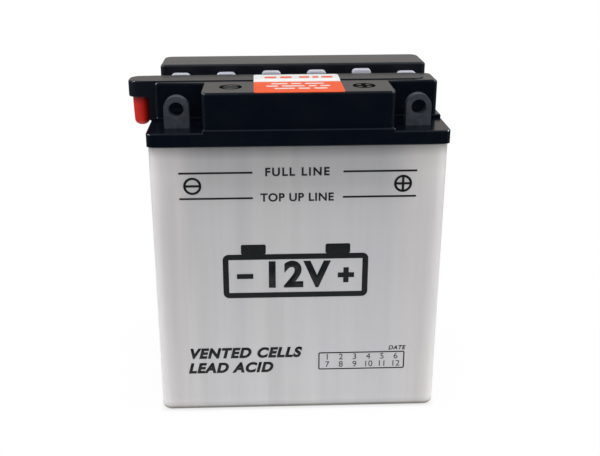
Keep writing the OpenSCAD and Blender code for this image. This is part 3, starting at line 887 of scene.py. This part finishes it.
signSet = {"radius": 5.1, "line": 0.75, "bar": (3.6, 1.0)}
marks.clear()
signX, signY = coverSet["signAt"]
for side in (-1, 1):
    inkAndShadeRing(side * signX, signY, signSet["radius"], signSet["line"])
    inkAndShadeSign(side * signX, signY, *signSet["bar"], side > 0)
signShadeSheet = joinPieces(marks, "signShadeSheet")
signShadeSheet.location.z = (coverSet["deck"] + printSet["lift"]) * mm
bpy.ops.object.transform_apply(location=True, rotation=True, scale=True)
inkAndShadeBody(signShadeSheet, Vector((0, 0, 1)), plain["sign shade"])
hand(signShadeSheet, "battery", "cover_plastic")
print("stage: sign shade sheet")


# Floor in metres, white to the camera; close to the container's foot less of its glow shows, so its real
# shadow shows there along with some painted shade

floorSet = {"size": 0.42, "middle": 0.01, "tone": (0.86, 0.86, 0.86), "foot": (0.0665, 0.0395),
            "glow": ((0.0, 0.7), (0.012, 0.94), (0.3, 0.98), (1.0, 1.0)), "reach": 0.12}
bpy.ops.object.select_all(action="DESELECT")
bpy.ops.mesh.primitive_plane_add(size=floorSet["size"], location=(0, floorSet["middle"], 0))
floor = bpy.context.active_object
floor.name = "floor"
bpy.ops.object.transform_apply(location=True, rotation=True, scale=True)
paper, tree, shader = newFinish("floor paper")
tree.nodes.remove(shader)
matt = addNode(tree, "ShaderNodeBsdfDiffuse")
matt.inputs["Color"].default_value = (*floorSet["tone"], 1)
glow = addNode(tree, "ShaderNodeEmission")
glow.inputs["Strength"].default_value = 1
axes = addAxes(tree)
away = addNode(tree, "ShaderNodeCombineXYZ")
for axis, half in zip("XY", floorSet["foot"]):                  # distance from the container's foot
    past = addMath(tree, "SUBTRACT", addMath(tree, "ABSOLUTE", axes[axis]), half)
    tree.links.new(addMath(tree, "MAXIMUM", past), away.inputs[axis])
gap = addNode(tree, "ShaderNodeVectorMath", operation="LENGTH")
tree.links.new(away.outputs[0], gap.inputs[0])
whiteness = addRamp(tree, addSpan(tree, gap.outputs["Value"], 0, floorSet["reach"]), shades(floorSet["glow"]))
blendFloor = addNode(tree, "ShaderNodeMixShader")
seen = addSeen(tree, "Camera", "Glossy", "Transmission")
tree.links.new(addMath(tree, "MULTIPLY", seen, whiteness), blendFloor.inputs[0])
tree.links.new(matt.outputs[0], blendFloor.inputs[1])
tree.links.new(glow.outputs[0], blendFloor.inputs[2])
tree.links.new(blendFloor.outputs[0], tree.nodes["Material Output"].inputs["Surface"])
floor.data.materials.append(paper)
print("stage: floor")


# White all round for the camera; glossy faces see a bright wall behind, a dimmer ceiling and a dark front

roomSet = {"fill": (0.46, 0.46, 0.46), "white": (1.0, 1.0, 1.0),
           "warm": (1.0, 0.95, 0.9), "cool": (0.86, 0.94, 1.0),
           "front": ((0.0, 0.012), (0.12, 0.06), (0.3, 0.4), (0.5, 0.32), (0.65, 0.23)),
           "rear": ((0.85, 0.32), (0.96, 0.465)), "below": 0.3, "horizon": (-0.2, 0.1)}
room = bpy.data.worlds.new("room")
bpy.context.scene.world = room
room.use_nodes = True
tree = room.node_tree
axes = addAxes(tree, "Generated")
wallStops = shades(roomSet["front"], roomSet["cool"]) + shades(roomSet["rear"], roomSet["warm"])
mirrored = addRamp(tree, addSpan(tree, axes["Y"], -1, 1), wallStops)
upward = addSpan(tree, axes["Z"], *roomSet["horizon"], roomSet["below"], 1, "SMOOTHSTEP")
mirrored = addMix(tree, 1.0, mirrored, upward, "MULTIPLY")
light = addMix(tree, addSeen(tree, "Glossy"), roomSet["fill"], mirrored)
light = addMix(tree, addSeen(tree, "Camera", "Transmission"), light, roomSet["white"])
tree.links.new(light, tree.nodes["Background"].inputs["Color"])

# Place, size and power of each lamp, in metres and watts; of these, glossy faces show the sparks and glints
lampSet = {"over": ((0.0, -0.3, 0.95), 0.9, 3.4), "front": ((0.0, -0.95, 0.5), 0.7, 2.2),
           "left": ((-0.85, -0.1, 0.3), 0.6, 1.7), "right": ((0.85, -0.1, 0.3), 0.6, 2.0),
           "sparkLeft": ((-0.8, -0.05, 0.72), 0.24, 1.8), "sparkRight": ((0.8, -0.05, 0.72), 0.24, 1.8),
           "glintLeft": ((-0.6, 0.1, 0.95), 0.1, 4.0), "glintRight": ((0.6, 0.1, 0.95), 0.1, 4.0)}
lampAim = (0, 0, 0.08)
sparkTint = (0.82, 0.92, 1.0)
for name, (place, size, power) in lampSet.items():
    bpy.ops.object.select_all(action="DESELECT")
    bpy.ops.object.light_add(type="AREA", location=place)
    lamp = bpy.context.active_object
    lamp.name = "lamp_" + name
    lamp.data.shape = "SQUARE"
    lamp.data.size = size
    lamp.data.energy = power
    lamp.visible_glossy = name.startswith(("spark", "glint"))
    lamp.visible_diffuse = not name.startswith("glint")
    if lamp.visible_glossy:
        lamp.data.color = sparkTint
    lamp.rotation_euler = (Vector(lampAim) - Vector(place)).to_track_quat("-Z", "Y").to_euler()
print("stage: light,", len(lampSet), "lamps")


# Camera, in millimetres and degrees

cameraSet = {"place": (-19.159, -401.845, 233.729), "pitch": 19.782, "yaw": 1.552, "roll": -0.345,
             "lens": 51.25, "sensor": 36, "shift": (0.0365, -0.029), "near": 10}
bpy.ops.object.camera_add()
camera = bpy.context.active_object
camera.data.lens = cameraSet["lens"]
camera.data.sensor_fit = "HORIZONTAL"
camera.data.sensor_width = cameraSet["sensor"]
camera.data.shift_x, camera.data.shift_y = cameraSet["shift"]
camera.data.clip_start = cameraSet["near"] * mm
yaw = Matrix.Rotation(math.radians(-cameraSet["yaw"]), 4, "Z")
pitch = Matrix.Rotation(math.radians(90 - cameraSet["pitch"]), 4, "X")
roll = Matrix.Rotation(math.radians(cameraSet["roll"]), 4, "Z")
camera.matrix_world = Matrix.Translation(Vector(cameraSet["place"]) * mm) @ yaw @ pitch @ roll
bpy.context.scene.camera = camera
bpy.context.scene.view_settings.view_transform = "Standard"
print("stage: camera")
